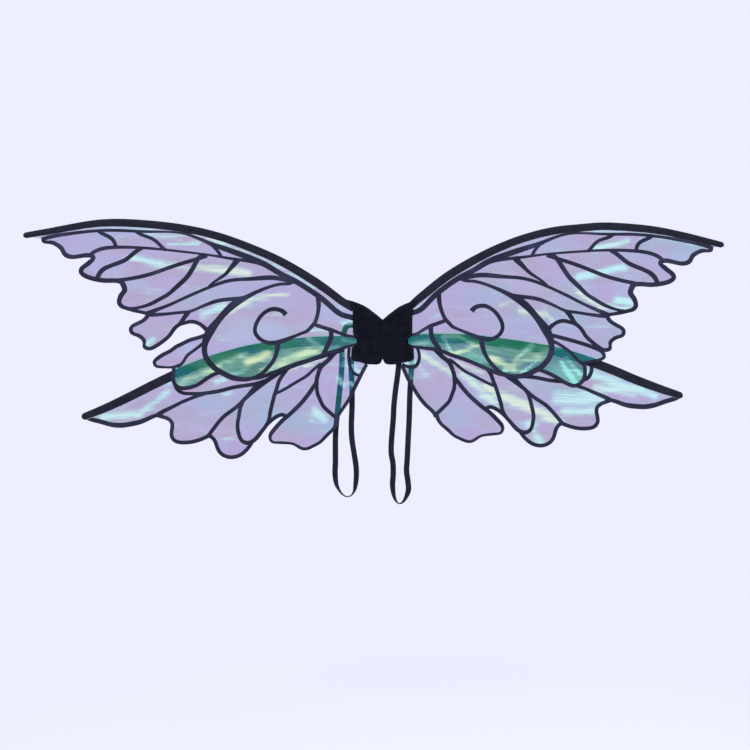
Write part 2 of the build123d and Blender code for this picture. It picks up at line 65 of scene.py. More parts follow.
UPPER_PLANE = 9.0       # depth of the middle of the upper wings
LOWER_PLANE = 4.8       # and of the lower wings, behind them
SLEEVE_HALF = 1.8       # half the depth of the flattened sleeve
SLEEVE_EASE = 0.8       # the cloth tube is this much wider than its list of widths
GROOVE = 0.66           # how far from the sleeve's middle its seam runs, as a share of its half width
SEAM_DEPTH = 0.84       # how far the seam's stitches are from the sleeve's middle plane
FILM_STEP = 4.0         # size of the film's and the print's triangles
FILM_HALF = 0.15        # half the thickness of the film
PRINT_FRONT, PRINT_BACK = 0.38, 0.08    # how far the print's faces are in front of the film's middle
CREASE = 0.04           # the least thickness left at a rounded edge
LINING_SIZE = 0.93      # the lining is cut a little smaller than the outer felt
LINING_FOLD = 5.3       # where the lining's halves end, beside the fold
FELT_FACES = -12.6, -11.2               # where the outer felt's front and back are in Y
LINING_FACES = -1.5, 0.0                # and the lining's
STRAP_DEPTH = 2.1       # depth of the middle of the straps
SLEEVE_STITCHES = 4.2   # from one stitch to the next on a sleeve
PATCH_STITCHES = 4.0    # and on the patch
PATCH_SEAM = 3.0        # how far in from the felt's edge its stitches run
FLOOR_RADIUS, FLOOR_HEIGHT = 0.9, -0.62                 # in metres


# ---- small tools ------------------------------------------------------------------------------------
def mesh_object(name, verts, faces, angle=40):
    """A smooth-shaded object from vertices in millimetres, sharp where faces turn by more than angle degrees."""
    mesh = bpy.data.meshes.new(name)
    mesh.from_pydata([(x / 1000, y / 1000, z / 1000) for x, y, z in verts], [], faces)
    mesh.validate()
    mesh.update()
    obj = bpy.data.objects.new(name, mesh)
    scene.collection.objects.link(obj)
    mesh.polygons.foreach_set("use_smooth", [True] * len(mesh.polygons))
    mesh.set_sharp_from_angle(angle=math.radians(angle))
    return obj


def outlines_of(node):
    """The closed outlines (x, z) of the front face of a flat CAD node."""
    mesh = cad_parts[node].data
    keys = [(round(v.co.x * 1000, 2), round(v.co.z * 1000, 2)) for v in mesh.vertices]
    count = {}
    for poly in mesh.polygons:
        if poly.normal.y > -0.9:
            continue
        ids = [keys[i] for i in poly.vertices]
        for a, b in zip(ids, ids[1:] + ids[:1]):
            if a != b:
                count.setdefault(frozenset((a, b)), []).append((a, b))
    after = {}
    for pairs in count.values():
        if len(pairs) == 1:
            a, b = pairs[0]
            after.setdefault(a, []).append(b)
    loops = []
    while after:
        start = next(iter(after))
        loop = [start]
        here = start
        while True:
            following = after[here].pop()
            if not after[here]:
                del after[here]
            if following == start or following not in after:
                break
            loop.append(following)
            here = following
        if len(loop) > 2:
            loops.append(np.array(loop))
    return loops


def even(loop, step):
    """The outline with no very short and no long sides."""
    out = []
    for a, b in zip(loop, np.roll(loop, -1, axis=0)):
        if out and np.hypot(*(a - out[-1])) < 0.35:
            continue
        out.append(a)
        n = int(np.hypot(*(b - a)) // step)
        for i in range(1, n + 1):
            out.append(a + (b - a) * i / (n + 1))
    return np.array(out)


def inside(points, loops):
    """Which points lie inside the outlines, holes counted as outside."""
    odd = np.zeros(len(points), bool)
    px, pz = points[:, 0], points[:, 1]
    for loop in loops:
        for (ax, az), (bx, bz) in zip(loop, np.roll(loop, -1, axis=0)):
            if az == bz:
                continue
            crosses = (az > pz) != (bz > pz)
            odd ^= crosses & (px < (bx - ax) * (pz - az) / (bz - az) + ax)
    return odd


def line_distance(points, line):
    """How far each point is from an open line."""
    best = np.full(len(points), 1e9)
    for a, b in zip(line[:-1], line[1:]):
        d = b - a
        t = np.clip(((points - a) @ d) / max(d @ d, 1e-9), 0, 1)
        best = np.minimum(best, np.hypot(*(points - a - t[:, None] * d).T))
    return best


def edge_distance(points, loops):
    """How far each point is from the nearest closed outline."""
    return np.min([line_distance(points, np.vstack([loop, loop[:1]])) for loop in loops], axis=0)


def flat_piece(name, loops, step, front, back, clear=0.5):
    """A thin closed piece between two surfaces y = front(points) and y = back(points)."""
    loops = [even(loop, step) for loop in loops]
    everything = np.vstack(loops)
    low, high = everything.min(0), everything.max(0)
    xs = np.arange(low[0], high[0], step)
    zs = np.arange(low[1], high[1], step * 0.87)
    grid = np.array([(x + (j % 2) * step / 2, z) for j, z in enumerate(zs) for x in xs])
    grid = grid[inside(grid, loops)]
    if len(grid):
        grid = grid[edge_distance(grid, loops) > clear * step]
    points = np.vstack([everything, grid])
    edges = []
    first = 0
    for loop in loops:
        n = len(loop)
        edges += [(first + i, first + (i + 1) % n) for i in range(n)]
        first += n
    out = delaunay_2d_cdt([Vector(p) for p in points], edges, [], 0, 1e-4)
    co = np.array([tuple(v) for v in out[0]])
    tris = np.array([list(f) for f in out[2]])
    tris = tris[inside(co[tris].mean(1), loops)]
    a, b, c = co[tris[:, 0]], co[tris[:, 1]], co[tris[:, 2]]
    turn = (b[:, 0] - a[:, 0]) * (c[:, 1] - a[:, 1]) - (b[:, 1] - a[:, 1]) * (c[:, 0] - a[:, 0])
    solid = np.abs(turn) > 1e-6
    tris, turn = tris[solid], turn[solid]
    tris[turn < 0] = tris[turn < 0][:, ::-1]
    n = len(co)
    verts = [(x, y, z) for face in (front, back) for (x, z), y in zip(co, face(co))]
    faces = [tuple(t) for t in tris.tolist()] + [(c + n, b + n, a + n) for a, b, c in tris.tolist()]
    used = dict.fromkeys(side for a, b, c in tris.tolist() for side in ((a, b), (b, c), (c, a)))
    faces += [(q, p, p + n, q + n) for p, q in used if (q, p) not in used]
    obj = mesh_object(name, verts, faces)
    area = 0.5 * float(np.abs(turn).sum()) * 1e-6
    size = (co.max(0) - co.min(0)) / 1000
    return obj, area, (float(size[0]), float(size[1]))


def path_of(points, step):
    """A smooth line through (x, z, ...) points, sampled about every step millimetres."""
    p = np.array(points, float)
    p = np.vstack([2 * p[0] - p[1], p, 2 * p[-1] - p[-2]])
    out = []
    for i in range(1, len(p) - 2):
        n = max(2, int(np.hypot(*(p[i + 1] - p[i])[:2]) / step))
        for k in range(n):
            t = k / n
            a = 2 * p[i]
            b = p[i + 1] - p[i - 1]
            c = 2 * p[i - 1] - 5 * p[i] + 4 * p[i + 1] - p[i + 2]
            d = -p[i - 1] + 3 * p[i] - 3 * p[i + 1] + p[i + 2]
            out.append(0.5 * (a + b * t + c * t * t + d * t ** 3))
    out.append(p[-2])
    return np.array(out)


def normals_of(line):
    """Unit normals, to the left of the way the line runs in (x, z), and its unit directions."""
    d = np.gradient(line[:, :2], axis=0)
    d /= np.maximum(np.hypot(d[:, 0], d[:, 1])[:, None], 1e-9)
    return np.stack([-d[:, 1], d[:, 0]], 1), d


def lengths_of(line):
    """How far along the line each of its points is."""
    return np.concatenate([[0], np.cumsum(np.hypot(*np.diff(line[:, :2], axis=0).T))])


def tube_faces(rings, around, base=0):
    """Faces of a closed tube of so many rings, each of so many points."""
    faces = []
    for i in range(rings - 1):
        for k in range(around):
            a, b = base + i * around + k, base + i * around + (k + 1) % around
            faces.append((a, b, b + around, a + around))
    last = base + (rings - 1) * around
    faces.append(tuple(range(base, base + around))[::-1])
    faces.append(tuple(range(last, last + around)))
    return faces


def ripple(points, seed, count, short, long, way=0.0, spread=math.pi):
    """A smooth random surface, about -1 to 1, with waves between two lengths running mostly one way."""
    rng = np.random.default_rng(seed)
    total = np.zeros(len(points))
    for _ in range(count):
        length = rng.uniform(short, long)
        angle = way + rng.uniform(-spread / 2, spread / 2)
        phase = rng.uniform(0, 2 * math.pi)
        along = points[:, 0] * math.cos(angle) + points[:, 1] * math.sin(angle)
        total += np.sin(along * 2 * math.pi / length + phase)
    return total / math.sqrt(count / 2) / 2


def rise(x, a, b):
    """0 before a, 1 after b, smooth between."""
    t = np.clip((x - a) / (b - a), 0, 1)
    return t * t * (3 - 2 * t)


# ---- materials ----------------------------------------------------------------------------------------
def new_material(name):
    mat = bpy.data.materials.new(name)
    mat.use_nodes = True
    nt = mat.node_tree
    nt.nodes.clear()
    out = nt.nodes.new("ShaderNodeOutputMaterial")
    return mat, nt, out


def node(nt, kind, **values):
    """A shader node with values set on its own sockets; "_" in a name stands for a space."""
    made = nt.nodes.new(kind)
    for key, value in values.items():
        made.inputs[key.replace("_", " ")].default_value = value
    return made


def place(nt, scale=(1, 1, 1), turn=0.0, shift=(0, 0, 0)):
    """Object coordinates, turned about Y and scaled."""
    where = nt.nodes.new("ShaderNodeTexCoord")
    mapping = node(nt, "ShaderNodeMapping", Rotation=(0, turn, 0), Scale=scale, Location=shift)
    nt.links.new(where.outputs["Object"], mapping.inputs["Vector"])
    return mapping.outputs["Vector"]


def noise(nt, vector, scale, detail=3.0, rough=0.5, distortion=0.0):
    made = node(nt, "ShaderNodeTexNoise", Scale=scale, Detail=detail, Roughness=rough, Distortion=distortion)
    nt.links.new(vector, made.inputs["Vector"])
    return made.outputs["Fac"]


def ramp(nt, fac, stops):
    made = nt.nodes.new("ShaderNodeValToRGB")
    elements = made.color_ramp.elements
    while len(elements) < len(stops):
        elements.new(0.5)
    for element, (position, colour) in zip(elements, stops):
        element.position = position
        element.color = (*colour, 1) if len(colour) == 3 else colour
    nt.links.new(fac, made.inputs["Fac"])
    return made.outputs["Color"]


def mix_colour(nt, fac, a, b):
    """Sockets 0, 6 and 7 of the mix node are its factor and two colours; output 2 is the colour."""
    made = nt.nodes.new("ShaderNodeMix")
    made.data_type = "RGBA"
    for socket, value in ((made.inputs[0], fac), (made.inputs[6], a), (made.inputs[7], b)):
        if hasattr(value, "links"):
            nt.links.new(value, socket)
        elif isinstance(value, (int, float)):
            socket.default_value = value
        else:
            socket.default_value = (*value, 1)
    return made.outputs[2]


def maths(nt, operation, a, b=0.0, clamp=False):
    made = nt.nodes.new("ShaderNodeMath")
    made.operation = operation
    made.use_clamp = clamp
    for socket, value in zip(made.inputs, (a, b)):
        if hasattr(value, "links"):
            nt.links.new(value, socket)
        else:
            socket.default_value = value
    return made.outputs[0]


def bump(nt, height, strength, distance):
    made = node(nt, "ShaderNodeBump", Strength=strength, Distance=distance)
    nt.links.new(height, made.inputs["Height"])
    return made.outputs["Normal"]


def cloth_material(name, dark, light, rough, thread, way=0.0, sheen=0.0, fuzz=0.0, strength=0.6, shine=0.25):
    """A dark woven or felted cloth: fine threads, mottling, a little sheen."""
    mat, nt, out = new_material(name)
    p = node(nt, "ShaderNodeBsdfPrincipled", Roughness=rough, Specular_IOR_Level=shine, Sheen_Weight=sheen,
             Sheen_Roughness=0.5, Sheen_Tint=(0.5, 0.52, 0.7, 1))
    at = place(nt, turn=way)
    mottling = noise(nt, at, 90.0, 4.0, 0.6)
    nt.links.new(ramp(nt, mottling, [(0.3, dark), (0.7, light)]), p.inputs["Base Color"])
    if thread:
        threads = []
        for direction in ("X", "Z"):
            wave = node(nt, "ShaderNodeTexWave", Scale=thread, Distortion=1.5, Detail=1.0)
            wave.bands_direction = direction
            nt.links.new(at, wave.inputs["Vector"])
            threads.append(wave.outputs["Fac"])
        height = maths(nt, "MULTIPLY", *threads)
    else:
        height = noise(nt, place(nt, scale=(1.0, 1.0, 1.7), turn=0.6), 1400.0, 3.0, 0.7, 0.6)
    if fuzz:
        height = maths(nt, "ADD", height, maths(nt, "MULTIPLY", noise(nt, at, 420.0, 5.0, 0.75), fuzz))
    nt.links.new(bump(nt, height, strength, 0.0004), p.inputs["Normal"])
    nt.links.new(p.outputs[0], out.inputs[0])
    return mat


def ink_material(name):
    """The dark blue-black print of the veins."""
    mat, nt, out = new_material(name)
    p = node(nt, "ShaderNodeBsdfPrincipled", Roughness=0.45, Specular_IOR_Level=0.16)
    tone = noise(nt, place(nt), 26.0, 4.0, 0.6)
    nt.links.new(ramp(nt, tone, [(0.3, (0.009, 0.010, 0.024)), (0.55, (0.016, 0.019, 0.042)),
                                 (0.8, (0.034, 0.038, 0.080))]), p.inputs["Base Color"])
    grain = noise(nt, place(nt), 900.0, 2.0)
    nt.links.new(bump(nt, grain, 0.15, 0.0002), p.inputs["Normal"])
    nt.links.new(p.outputs[0], out.inputs[0])
    return mat


def film_material(name, way, seed):
    """Clear film with a dichroic coating: lilac where light comes through, teal, green and mint where it reflects.

    "glint" on the mesh says where creases catch the light, painted in as highlights, and "warm" how yellow those
    painted highlights are.  "crossing" is where the film lies over another wing and a painted reflection in greens and
    teals shows more, and "backed" where that wing's sleeve is, where that painted reflection is kept darker.
    Light passes both faces of the film, so a tint here is the square root of the tint that is seen.
    """
    mat, nt, out = new_material(name)
    shift = (seed * 1.37, 0.0, seed * 0.71)

    def painted(what):
        made = nt.nodes.new("ShaderNodeAttribute")
        made.attribute_name = what
        return made.outputs["Fac"]

    def at(stretch, turn):
        return place(nt, scale=(1.0, 1.0, stretch), turn=turn, shift=shift)

    soft = noise(nt, at(2.0, way), 7.0, 3.0, 0.5, 0.4)
    through = ramp(nt, soft, [(0.32, (0.79, 0.77, 0.89)), (0.44, (0.848, 0.73, 0.878)),
                              (0.56, (0.874, 0.695, 0.865)), (0.70, (0.845, 0.785, 0.915))])
    # Painted highlights: streaky noise and the painted glint mask make lit, which whitens the light coming through,
    # turns the reflection pale mint to pale yellow and raises the reflective share.
    highlight_streaks = noise(nt, at(9.0, way), 11.0, 5.0, 0.6, 0.5)
    highlight_hairlines = noise(nt, at(12.0, way + 0.15), 34.0, 3.0, 0.6, 0.3)
    highlight_pattern = maths(nt, "ADD", maths(nt, "MULTIPLY", highlight_streaks, 0.72), maths(nt, "MULTIPLY", highlight_hairlines, 0.28))
    wanted = maths(nt, "ADD", highlight_pattern, maths(nt, "MULTIPLY", painted("glint"), 0.36))
    lit = ramp(nt, wanted, [(0.57, (0, 0, 0)), (0.67, (0.45, 0.45, 0.45)), (0.82, (1, 1, 1))])
    through = mix_colour(nt, lit, through, (0.90, 0.93, 0.93))
    tone = noise(nt, at(3.0, way), 9.0, 3.0)
    back_tone = ramp(nt, tone, [(0.34, (0.03, 0.45, 0.55)), (0.46, (0.06, 0.58, 0.58)),
                                (0.56, (0.01, 0.46, 0.26)), (0.70, (0.16, 0.66, 0.60))])
    pale = mix_colour(nt, painted("warm"), (0.52, 1.0, 0.93), (0.95, 1.0, 0.62))
    shine = mix_colour(nt, lit, back_tone, pale)
    share = maths(nt, "ADD", maths(nt, "MULTIPLY", lit, 0.20), 0.155)

    # Painted reflection where the film lies over the lower wing or its sleeve: dark green and teal patches with bright
    # painted streaks, a greener tint coming through and a larger reflective share.
    over = painted("crossing")
    deep = noise(nt, at(3.6, way * 0.4), 12.0, 4.0, 0.55, 0.5)
    hue = noise(nt, at(2.4, way * 0.4), 14.0, 2.0, 0.5, 0.3)
    green_or_teal = ramp(nt, hue, [(0.42, (0, 0, 0)), (0.60, (1, 1, 1))])
    dark_reflection = mix_colour(nt, green_or_teal, (0.022, 0.34, 0.16), (0.035, 0.31, 0.33))
    bright = mix_colour(nt, painted("warm"), (0.45, 0.98, 0.86), (0.86, 1.0, 0.55))
    patches = ramp(nt, deep, [(0.40, (0, 0, 0)), (0.68, (0.75, 0.75, 0.75))])
    level = maths(nt, "ADD", maths(nt, "MULTIPLY", lit, 0.7), patches, clamp=True)
    # This painted reflection is kept darker where the lower wing's sleeve is behind.
    open_part = maths(nt, "SUBTRACT", 1.0, maths(nt, "MULTIPLY", painted("backed"), 0.72))
    level = maths(nt, "MULTIPLY", level, open_part)
    shine = mix_colour(nt, over, shine, mix_colour(nt, level, dark_reflection, bright))
    through = mix_colour(nt, over, through, (0.71, 0.84, 0.77))
    more = maths(nt, "ADD", maths(nt, "MULTIPLY", level, 0.24), 0.21)
    share = maths(nt, "ADD", share, maths(nt, "MULTIPLY", over, more), clamp=True)

    clear = nt.nodes.new("ShaderNodeBsdfTransparent")
    nt.links.new(through, clear.inputs["Color"])
    p = node(nt, "ShaderNodeBsdfPrincipled", Metallic=0.85, Roughness=0.27)
    nt.links.new(shine, p.inputs["Base Color"])
    crinkle = noise(nt, at(3.0, way + 0.3), 38.0, 3.0, 0.5, 0.3)
    nt.links.new(bump(nt, crinkle, 0.5, 0.0016), p.inputs["Normal"])
    mix = nt.nodes.new("ShaderNodeMixShader")
    nt.links.new(share, mix.inputs[0])
    nt.links.new(clear.outputs[0], mix.inputs[1])
    nt.links.new(p.outputs[0], mix.inputs[2])
    nt.links.new(mix.outputs[0], out.inputs[0])
    return mat


def metal_material(name, dark, light, rough):
    mat, nt, out = new_material(name)
    p = node(nt, "ShaderNodeBsdfPrincipled", Metallic=1.0, Roughness=rough)
    tone = noise(nt, place(nt), 300.0, 3.0, 0.6)
    nt.links.new(ramp(nt, tone, [(0.3, dark), (0.7, light)]), p.inputs["Base Color"])
    nt.links.new(bump(nt, noise(nt, place(nt), 1500.0, 2.0), 0.2, 0.0001), p.inputs["Normal"])
    nt.links.new(p.outputs[0], out.inputs[0])
    return mat


def dress(obj, mat):
    obj.data.materials.clear()
    obj.data.materials.append(mat)


felt_mat = cloth_material("black_felt", (0.0030, 0.0034, 0.0065), (0.0075, 0.0085, 0.0150), 0.95, 0,
                          sheen=0.03, fuzz=1.2, strength=0.9, shine=0.06)
sleeve_mat = cloth_material("sleeve_cloth", (0.0060, 0.0070, 0.0140), (0.0150, 0.0170, 0.0310), 0.75, 420.0,
                            way=0.5, sheen=0.10, shine=0.16)
elastic_mat = cloth_material("elastic_web", (0.0055, 0.0055, 0.0120), (0.0140, 0.0140, 0.0280), 0.7, 360.0,
                             sheen=0.06, shine=0.12)
thread_mat = cloth_material("black_thread", (0.010, 0.011, 0.020), (0.028, 0.030, 0.050), 0.6, 900.0, sheen=0.3)
foam_mat = cloth_material("black_foam", (0.010, 0.010, 0.012), (0.022, 0.022, 0.026), 0.95, 0, fuzz=2.0)
steel_mat = metal_material("wire_steel", (0.35, 0.36, 0.38), (0.55, 0.56, 0.58), 0.35)
rivet_mat = metal_material("rivet_steel", (0.45, 0.45, 0.46), (0.62, 0.62, 0.64), 0.28)
card_mat = cloth_material("black_card", (0.012, 0.012, 0.014), (0.022, 0.022, 0.026), 0.6, 0, fuzz=0.6,
                          strength=0.3)

# ---- the wings ------------------------------------------------------------------------------------------
# middle lines of the sleeves: out, up, width
SLEEVES = {
    "upper_left": [(43.5, 37, 10.5), (60, 47, 11), (100, 76, 12), (150, 106, 11.5), (200, 128.5, 11), (250, 146, 11),
                   (300, 157, 11), (350, 163, 11), (400, 165.5, 11), (440, 163, 10), (500, 152.5, 9), (539, 146, 8)],
    "upper_right": [(43.5, 41.5, 10.5), (60, 56, 11.5), (100, 87, 12), (150, 116, 11.5), (200, 138, 11),
                    (250, 152, 11), (300, 158, 11), (340, 160, 11), (400, 155.5, 10.5), (450, 146.5, 9.5),
                    (512, 131.5, 8)],
    "lower_left": [(33, -13, 12.5), (60, -11.3, 13), (110, -13, 13), (150, -17, 13), (200, -25, 13), (250, -38.5, 13),
                   (290, -53, 13), (330, -70.5, 13), (380, -95.5, 12.6), (415, -112, 11.5), (452, -127, 9.5)],
    "lower_right": [(33, -13.5, 12.5), (60, -8.5, 13), (130, -9, 13), (180, -15, 13), (225, -21.5, 13), (270, -30, 13),
                    (330, -49.5, 13), (380, -70, 12.6), (415, -83, 11.5), (451, -95, 9.5)],
}
# painted highlights where creases of the film catch the light: out, up, out, up, width, strength, how yellow
GLINTS = {
    "upper_left": [(380, 113, 328, 103, 10, 1.0, 0.1), (328, 103, 278, 96, 9, 0.75, 0.3),
                   (278, 100, 202, 89, 11, 1.0, 0.8), (322, 133, 276, 134, 5, 0.9, 0.1),
                   (356, 147, 302, 141, 4, 0.6, 0.3), (282, 147, 192, 126, 5, 0.9, 0.5),
                   (270, 26, 238, 40, 13, 1.0, 0.1), (234, 30, 198, 50, 9, 0.8, 0.8),
                   (198, 52, 142, 58, 8, 0.8, 0.9), (355, -18, 344, -10, 9, 0.9, 0.0),
                   (60, 14, 47, 16, 7, 0.9, 0.0), (110, 4, 84, 4, 5, 0.5, 0.0), (300, 72, 262, 60, 5, 0.5, 0.2),
                   (440, 140, 392, 142, 3, 0.6, 0.0), (200, 20, 150, 30, 5, 0.35, 0.4)],
    "upper_right": [(295, 84, 361, 100, 10, 1.0, 0.0), (318, 126, 368, 138, 7, 1.0, 0.1),
                    (400, 147, 486, 130, 4, 0.9, 0.0), (296, 60, 326, 42, 10, 1.0, 0.7),
                    (325, 42, 366, 34, 7, 1.0, 0.2), (352, 50, 374, 44, 12, 0.9, 0.0),
                    (176, 41, 194, 49, 6, 0.6, 0.8), (206, 33, 243, 28, 10, 0.9, 0.8),
                    (242, 34, 256, 16, 7, 0.8, 0.5), (300, 150, 360, 151, 3, 0.8, 0.1),
                    (70, 20, 92, 30, 6, 0.4, 0.0)],
    "lower_left": [(420, -126, 366, -122, 12, 1.0, 0.2), (366, -122, 322, -88, 11, 0.9, 0.0),
                   (330, -80, 300, -70, 6, 0.6, 0.0), (250, -76, 233, -66, 9, 0.8, 0.1),
                   (238, -93, 227, -88, 7, 0.6, 0.1), (102, -114, 88, -131, 11, 0.9, 0.0),
                   (108, -132, 92, -137, 7, 0.6, 0.0), (66, -68, 58, -80, 9, 1.0, 0.0),
                   (49, -74, 42, -82, 8, 1.0, 0.0), (172, -62, 128, -52, 6, 0.6, 0.8),
                   (116, -50, 84, -32, 7, 0.8, 0.7), (236, -158, 222, -155, 6, 0.5, 0.0),
                   (44, -52, 30, -60, 6, 0.7, 0.0), (58, -28, 54, -62, 5, 0.4, 0.0)],
    "lower_right": [(306, -60, 408, -94, 13, 1.0, 0.0), (320, -80, 378, -94, 10, 0.9, 0.3),
                    (262, -98, 328, -98, 19, 1.0, 0.1), (274, -118, 322, -114, 13, 1.0, 0.2),
                    (182, -96, 264, -131, 14, 1.0, 0.8), (156, -82, 184, -98, 11, 0.9, 0.9),
                    (120, -62, 170, -107, 12, 0.9, 0.5), (60, -33, 106, -62, 9, 0.9, 0.7),
                    (222, -140, 238, -164, 13, 0.8, 0.1), (110, -44, 152, -60, 6, 0.7, 0.9),
                    (32, -48, 48, -43, 7, 0.9, 0.0), (52, -48, 66, -62, 8, 0.6, 0.0)],
}
# painted highlights: bright streaks where the upper film lies over the lower wing, in the same terms, for each side
SLASHES = {
    -1: [(308, -73, 256, -55, 12, 0.9, 0.7), (250, -50, 204, -30, 8, 0.8, 0.6), (202, -44, 172, -30, 10, 1.0, 1.0),
         (156, -48, 100, -24, 12, 1.0, 0.8), (112, -9, 84, -25, 5, 1.0, 0.5), (182, -57, 150, -46, 8, 0.8, 0.8),
         (240, -66, 205, -56, 8, 0.5, 0.1), (60, -12, 38, -15, 5, 0.8, 0.2)],
    1: [(90, -5, 104, -32, 4, 1.0, 0.4), (104, -32, 142, -19, 5, 1.0, 0.8), (142, -19, 112, -4, 4, 1.0, 0.7),
        (112, -4, 90, -5, 5, 0.9, 0.8), (183, -56, 224, -18, 6, 1.0, 0.1), (163, -38, 196, -52, 8, 1.0, 0.9),
        (196, -46, 246, -30, 10, 0.9, 0.8), (268, -44, 288, -74, 7, 1.0, 0.0), (276, -38, 296, -62, 7, 0.8, 0.0),
        (44, -16, 70, -12, 6, 0.9, 0.2), (206, -62, 240, -34, 4, 0.8, 0.1)],
}
lower_cover = {}        # for each side, the lower film's outlines and the lower sleeve's middle line


def height_of(wing, line):
    """How far the film of a wing stands forward of its flat plane, in millimetres."""
    upper = wing.startswith("upper")
    side = -1 if wing.endswith("left") else 1
    seed = {"upper_left": 11, "upper_right": 23, "lower_left": 37, "lower_right": 41}[wing]
    way = side * (0.30 if upper else -0.25)

    def height(points):
        gap = np.full(len(points), 1e9)
        for x, z, _ in line[::3]:
            gap = np.minimum(gap, np.hypot(points[:, 0] - x, points[:, 1] - z))
        out = np.abs(points[:, 0])
        free = rise(gap, 4, 60) * rise(out, 52, 110)
        near = rise(gap, 4, 16) * rise(out, 48, 75)
        broad = ripple(points, seed, 6, 90, 190, way + math.pi / 2, 1.3)
        small = ripple(points, seed + 1, 9, 26, 60, way + math.pi / 2, 1.6)
        tiny = ripple(points, seed + 2, 8, 13, 26, way + math.pi / 2, 2.4)
        if upper:
            return free * np.clip(1.6 + 1.7 * broad, -0.2, 5.0) + near * (0.45 * small + 0.13 * tiny)
        return free * np.clip(0.9 + 0.9 * broad, -0.1, 2.2) + near * (0.35 * small + 0.12 * tiny)
    return height


def sleeve_piece(name, line, depth):
    """A flattened cloth tube round the wire, with a stitched groove on the film side."""
    normal, _ = normals_of(line)
    side = -1 if "_left_" in name else 1
    n = len(line)
    along = lengths_of(line)
    around = np.linspace(0, 2 * math.pi, 28, endpoint=False)
    pucker = ripple(np.stack([along, along * 0], 1), 5, 7, 14, 40, 0, 0.1)
    verts = []
    for i in range(n):
        tip = min(1.0, (along[-1] - along[i]) / 4.2)
        w = line[i, 2] / 2 * (0.42 + 0.58 * math.sqrt(max(0.0, 1 - (1 - tip) ** 2)))
        end = min(1.0, 0.55 + 0.45 * min(along[i], along[-1] - along[i]) / 1.6)
        for a in around:
            u = math.cos(a)
            t = abs(math.sin(a)) ** 0.75 * math.copysign(1, math.sin(a))
            # u runs from the film side (-1) to the outer side (+1)
            groove = 1 - 0.42 * math.exp(-((u + GROOVE) / 0.13) ** 2)
            body = 0.80 + 0.20 * math.exp(-((u - 0.05) / 0.45) ** 2)
            gather = 1 + 0.07 * pucker[i] * math.cos(3 * u + i * 0.21)
            thick = SLEEVE_HALF * 0.97 * groove * body * t * end * gather
            across = w * u * (1 + 0.018 * pucker[i] * (1 if u < 0 else -0.5))
            x = line[i, 0] + normal[i, 0] * across * side
            z = line[i, 1] + normal[i, 1] * across * side
            verts.append((x, -depth + thick, z))
    return mesh_object(name, verts, tube_faces(n, len(around)), angle=60)


def stitches(name, spots, long=2.5, thick=0.23):
    """Short thread stitches.  Each spot is (x, y, z, direction x, direction z)."""
    verts = []
    faces = []
    ring = 6
    for x, y, z, dx, dz in spots:
        base = len(verts)
        for t, r in ((-0.5, 0.35), (-0.36, 0.9), (0.0, 1.0), (0.36, 0.9), (0.5, 0.35)):
            for k in range(ring):
                a = 2 * math.pi * k / ring
                across = r * thick * math.cos(a)
                deep = r * thick * math.sin(a)
                verts.append((x + dx * t * long - dz * across, y + deep, z + dz * t * long + dx * across))
        faces += tube_faces(5, ring, base)
    return mesh_object(name, verts, faces, angle=80)


